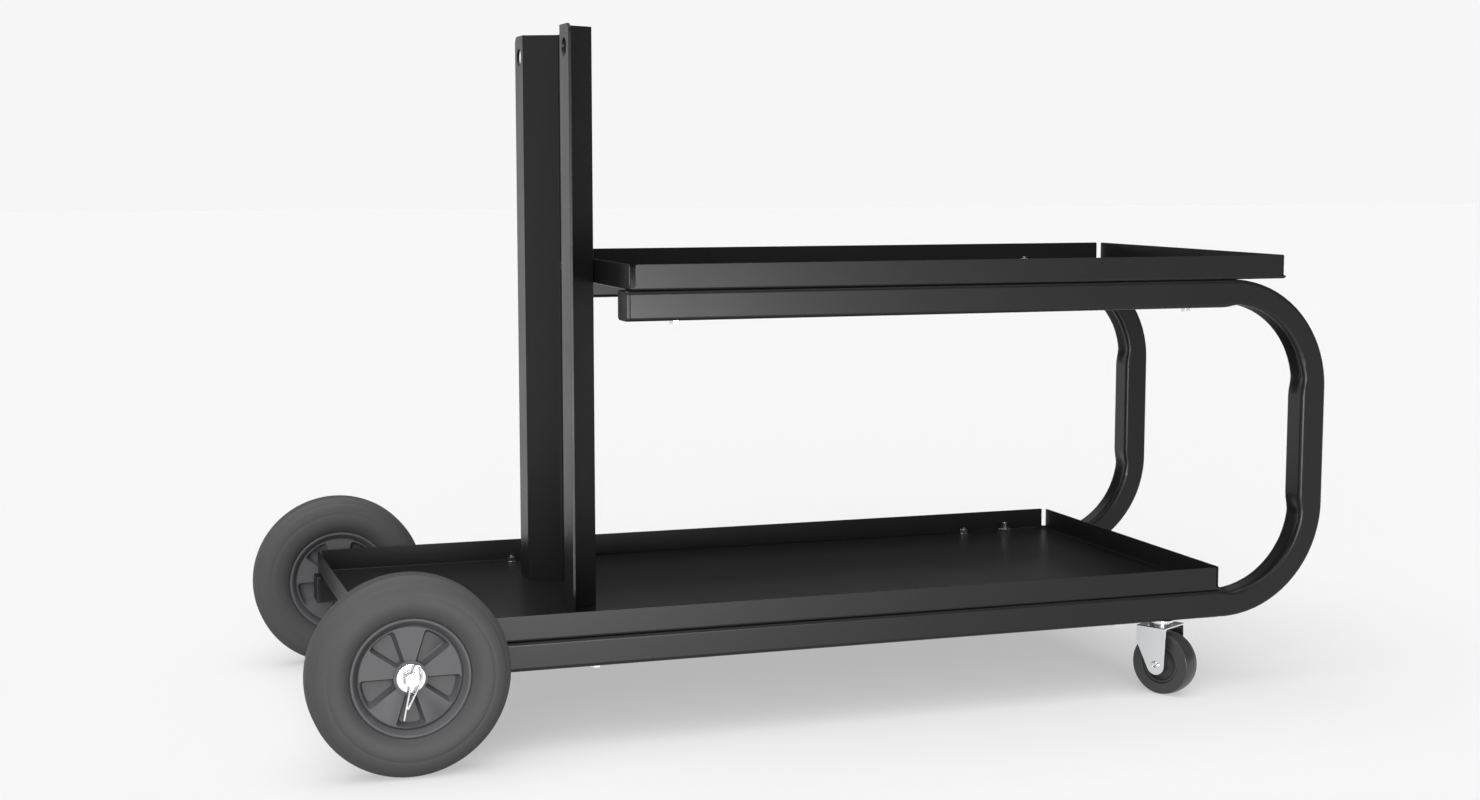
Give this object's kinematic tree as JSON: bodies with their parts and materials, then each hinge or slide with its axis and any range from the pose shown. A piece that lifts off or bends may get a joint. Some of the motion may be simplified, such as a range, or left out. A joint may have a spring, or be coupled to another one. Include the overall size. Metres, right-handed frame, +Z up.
{
  "type": "welding cart",
  "caption": "Two-tray welding cart with bent square-tube sides, a rear gas-cylinder post, large fixed rear wheels and swivel casters in front.",
  "frame": {"origin": "on the floor, under the middle of the cart's length and width", "axes": "+X from the rear wheels to the front bends, +Y to the left side, +Z up"},
  "size_m": [1.1771, 0.564, 0.7515],
  "materials": {
    "powder_coat": "satin black powder coat",
    "zinc": "bright zinc plate",
    "tyre_rubber": "matte black rubber",
    "caster_rubber": "black moulded rubber",
    "hub_plastic": "dark grey moulded plastic",
    "plug_plastic": "black moulded plastic",
    "bush_plastic": "natural nylon"
  },
  "bodies": {
    "frame": {"side_frame_left": "powder_coat", "side_frame_right": "powder_coat", "upper_rail_plugs": "plug_plastic", "lower_rail_plugs": "plug_plastic", "lower_tray": "powder_coat", "upper_tray": "powder_coat", "cylinder_post": "powder_coat", "lower_tray_screws": "zinc", "lower_tray_washers": "zinc", "lower_tray_nuts": "zinc", "upper_tray_screws": "zinc", "upper_tray_washers": "zinc", "upper_tray_nuts": "zinc", "post_screws": "zinc", "post_washers": "zinc", "post_nuts": "zinc", "rear_axle": "zinc", "axle_washers": "zinc", "axle_spacers": "zinc", "hairpin_cotter_left": "zinc", "hairpin_cotter_right": "zinc", "caster_stem_left": "zinc", "caster_stem_right": "zinc", "caster_stem_nut_left": "zinc", "caster_stem_nut_right": "zinc"},
    "rear_wheel_right": {"rear_tyre_right": "tyre_rubber", "rear_hub_right": "hub_plastic", "rear_hub_bush_right": "bush_plastic"},
    "caster_fork_right": {"caster_race_right": "zinc", "caster_fork_right": "zinc", "caster_axle_bolt_right": "zinc", "caster_axle_nut_right": "zinc", "caster_axle_sleeve_right": "zinc"},
    "caster_wheel_right": {"caster_core_right": "hub_plastic", "caster_tyre_right": "caster_rubber"},
    "rear_wheel_left": {"rear_tyre_left": "tyre_rubber", "rear_hub_left": "hub_plastic", "rear_hub_bush_left": "bush_plastic"},
    "caster_fork_left": {"caster_race_left": "zinc", "caster_fork_left": "zinc", "caster_axle_bolt_left": "zinc", "caster_axle_nut_left": "zinc", "caster_axle_sleeve_left": "zinc"},
    "caster_wheel_left": {"caster_core_left": "hub_plastic", "caster_tyre_left": "caster_rubber"}
  },
  "joints": [
    {"name": "rear_wheel_right_spin", "type": "hinge", "parent": "frame", "child": "rear_wheel_right", "pos_m": [-0.48695, -0.2548, 0.1016], "axis": [0, 1, 0], "continuous": true},
    {"name": "caster_right_swivel", "type": "hinge", "parent": "frame", "child": "caster_fork_right", "pos_m": [0.38735, -0.20413, 0.077], "axis": [0, 0, 1], "continuous": true},
    {"name": "caster_right_wheel_spin", "type": "hinge", "parent": "caster_fork_right", "child": "caster_wheel_right", "pos_m": [0.3906, -0.20975, 0.036], "axis": [0.866, 0.5, 0], "continuous": true},
    {"name": "rear_wheel_left_spin", "type": "hinge", "parent": "frame", "child": "rear_wheel_left", "pos_m": [-0.48695, 0.2548, 0.1016], "axis": [0, 1, 0], "continuous": true},
    {"name": "caster_left_swivel", "type": "hinge", "parent": "frame", "child": "caster_fork_left", "pos_m": [0.38735, 0.20413, 0.077], "axis": [0, 0, 1], "continuous": true},
    {"name": "caster_left_wheel_spin", "type": "hinge", "parent": "caster_fork_left", "child": "caster_wheel_left", "pos_m": [0.3906, 0.1985, 0.036], "axis": [0.866, 0.5, 0], "continuous": true}
  ]
}
